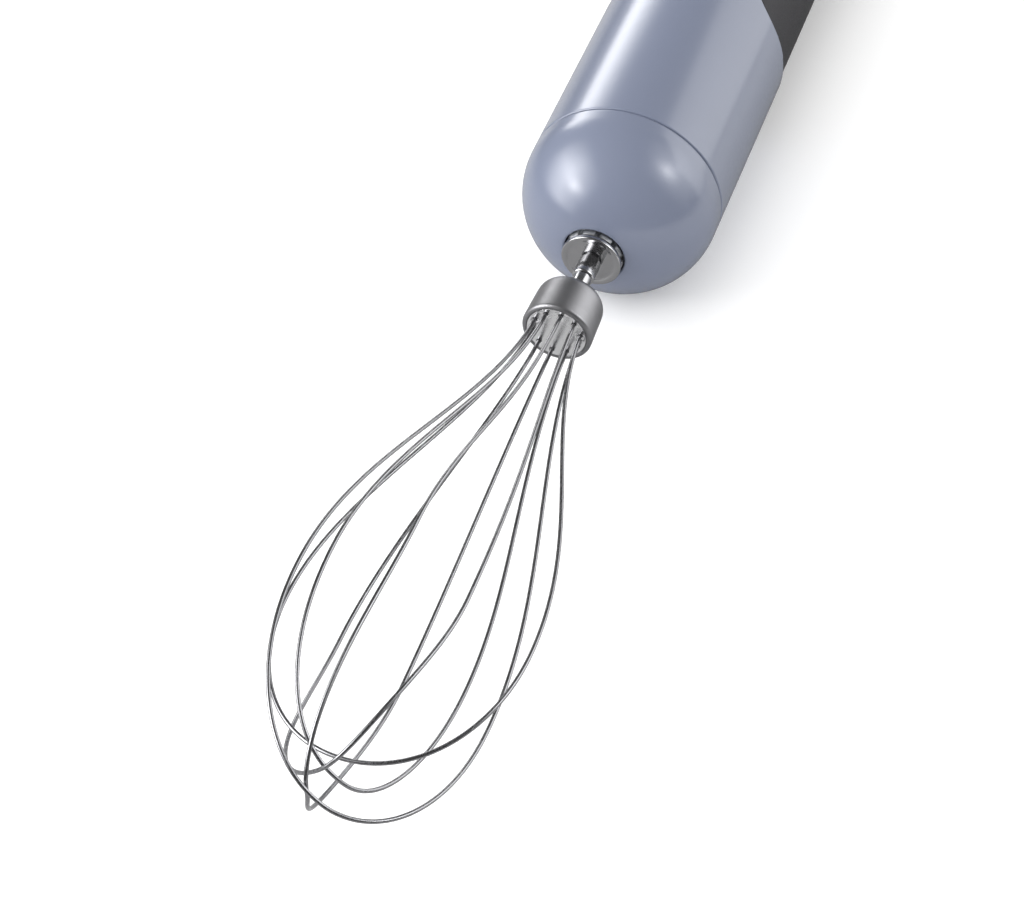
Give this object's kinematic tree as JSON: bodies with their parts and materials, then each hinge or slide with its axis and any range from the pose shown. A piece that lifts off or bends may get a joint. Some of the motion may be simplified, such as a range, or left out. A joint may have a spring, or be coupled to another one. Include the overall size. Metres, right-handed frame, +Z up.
{
  "type": "immersion blender",
  "caption": "Hand-held immersion blender lying on its underside, with a straight round drive unit, a round-nosed gearbox adapter and a wire balloon whisk.",
  "frame": {"origin": "bottom centre of the whole object's box, on the surface that it lies on", "axes": "+Y from the whisk towards the handle's tail along the turning axis, +Z up with the buttons on top, +X to the right seen from the whisk end"},
  "size_m": [0.07, 0.4382, 0.0625],
  "materials": {
    "blue_lacquer": "smooth blue-grey lacquer",
    "dark_grip": "fine satin grain",
    "black_plastic": "moulded satin",
    "brushed_steel": "turned and brushed stainless steel",
    "bright_wire": "bright drawn stainless wire",
    "zinc_steel": "zinc-plated steel",
    "bronze": "sintered bronze",
    "copper": "copper",
    "white_nylon": "moulded nylon",
    "soft_rubber": "matt rubber",
    "ferrite": "pressed ferrite",
    "board": "green circuit board",
    "carbon": "carbon"
  },
  "bodies": {
    "drive_unit": {"front_housing": "blue_lacquer", "rear_grip": "dark_grip", "tail_cap": "dark_grip", "cord_gland": "soft_rubber", "front_bulkhead": "black_plastic", "motor_can": "zinc_steel", "magnet_right": "ferrite", "magnet_left": "ferrite", "motor_end_bell": "black_plastic", "front_bearing": "bright_wire", "rear_bearing": "bright_wire", "brush_right": "carbon", "brush_left": "carbon", "motor_mount_front": "soft_rubber", "motor_mount_rear": "soft_rubber", "circuit_board": "board", "power_switch": "black_plastic", "turbo_switch": "black_plastic", "terminal_block": "white_nylon", "wheel_axle": "bright_wire", "power_button_spring": "bright_wire", "turbo_button_spring": "bright_wire", "release_spring": "bright_wire"},
    "rotor": {"rotor_shaft": "bright_wire", "armature_core": "zinc_steel", "winding_front": "copper", "winding_rear": "copper", "commutator": "copper", "cooling_fan": "black_plastic", "drive_coupling": "black_plastic"},
    "adapter": {"adapter_dome": "blue_lacquer", "nose_seal": "soft_rubber", "nose_bush": "bronze", "ring_gear": "white_nylon", "sun_bush": "bronze", "adapter_backplate": "black_plastic", "backplate_screw_1": "zinc_steel", "backplate_screw_2": "zinc_steel", "backplate_screw_3": "zinc_steel"},
    "sun": {"sun_gear": "zinc_steel"},
    "carrier": {"output_socket": "brushed_steel", "planet_pin_1": "bright_wire", "planet_pin_2": "bright_wire", "planet_pin_3": "bright_wire"},
    "planet_1": {"planet_gear_1": "white_nylon"},
    "planet_2": {"planet_gear_2": "white_nylon"},
    "planet_3": {"planet_gear_3": "white_nylon"},
    "whisk": {"whisk_loop_1": "bright_wire", "whisk_loop_2": "bright_wire", "whisk_loop_3": "bright_wire", "whisk_loop_4": "bright_wire", "whisk_loop_5": "bright_wire", "whisk_ferrule": "brushed_steel", "ferrule_plate": "brushed_steel", "whisk_shaft": "brushed_steel", "shaft_flange": "brushed_steel"},
    "power_button": {"power_button": "dark_grip"},
    "turbo_button": {"turbo_button": "dark_grip"},
    "release_button": {"release_button": "dark_grip"},
    "speed_wheel": {"speed_wheel": "dark_grip"}
  },
  "joints": [
    {"name": "motor_spin", "type": "hinge", "parent": "drive_unit", "child": "rotor", "pos_m": [0.00215, 0.07614, 0.0295], "axis": [0, 1, 0], "continuous": true},
    {"name": "adapter_pull", "type": "slide", "parent": "drive_unit", "child": "adapter", "axis": [0, -1, 0], "range_m": [0, 0.03]},
    {"name": "sun_spin", "type": "hinge", "parent": "adapter", "child": "sun", "pos_m": [0.00215, 0.01314, 0.0295], "axis": [0, 1, 0], "continuous": true},
    {"name": "carrier_spin", "type": "hinge", "parent": "adapter", "child": "carrier", "pos_m": [0.00215, -0.00286, 0.0295], "axis": [0, 1, 0], "continuous": true},
    {"name": "planet_1_spin", "type": "hinge", "parent": "carrier", "child": "planet_1", "pos_m": [0.00215, 0.00714, 0.04097], "axis": [0, 1, 0], "continuous": true},
    {"name": "planet_2_spin", "type": "hinge", "parent": "carrier", "child": "planet_2", "pos_m": [-0.00779, 0.00714, 0.02376], "axis": [0, 1, 0], "continuous": true},
    {"name": "planet_3_spin", "type": "hinge", "parent": "carrier", "child": "planet_3", "pos_m": [0.01209, 0.00714, 0.02376], "axis": [0, 1, 0], "continuous": true},
    {"name": "whisk_pull", "type": "slide", "parent": "carrier", "child": "whisk", "axis": [0, -1, 0], "range_m": [0, 0.025]},
    {"name": "power_button_press", "type": "slide", "parent": "drive_unit", "child": "power_button", "axis": [0, 0, -1], "range_m": [0, 0.002], "stiffness_N_per_m": 900, "springref_m": -0.001, "deforming": ["power_button_spring"]},
    {"name": "turbo_button_press", "type": "slide", "parent": "drive_unit", "child": "turbo_button", "axis": [0, 0, -1], "range_m": [0, 0.002], "stiffness_N_per_m": 900, "springref_m": -0.001, "deforming": ["turbo_button_spring"]},
    {"name": "release_button_press", "type": "slide", "parent": "drive_unit", "child": "release_button", "axis": [0, 0, 1], "range_m": [0, 0.002], "stiffness_N_per_m": 1200, "springref_m": -0.001, "deforming": ["release_spring"]},
    {"name": "speed_wheel_turn", "type": "hinge", "parent": "drive_unit", "child": "speed_wheel", "pos_m": [0.00215, 0.18514, 0.05], "axis": [1, 0, 0], "range_deg": [-60, 60]}
  ],
  "couplings": [
    {"joint": "sun_spin", "follows": "motor_spin", "ratio": 1},
    {"joint": "carrier_spin", "follows": "motor_spin", "ratio": 0.16667},
    {"joint": "planet_1_spin", "follows": "motor_spin", "ratio": -0.41667},
    {"joint": "planet_2_spin", "follows": "motor_spin", "ratio": -0.41667},
    {"joint": "planet_3_spin", "follows": "motor_spin", "ratio": -0.41667}
  ]
}
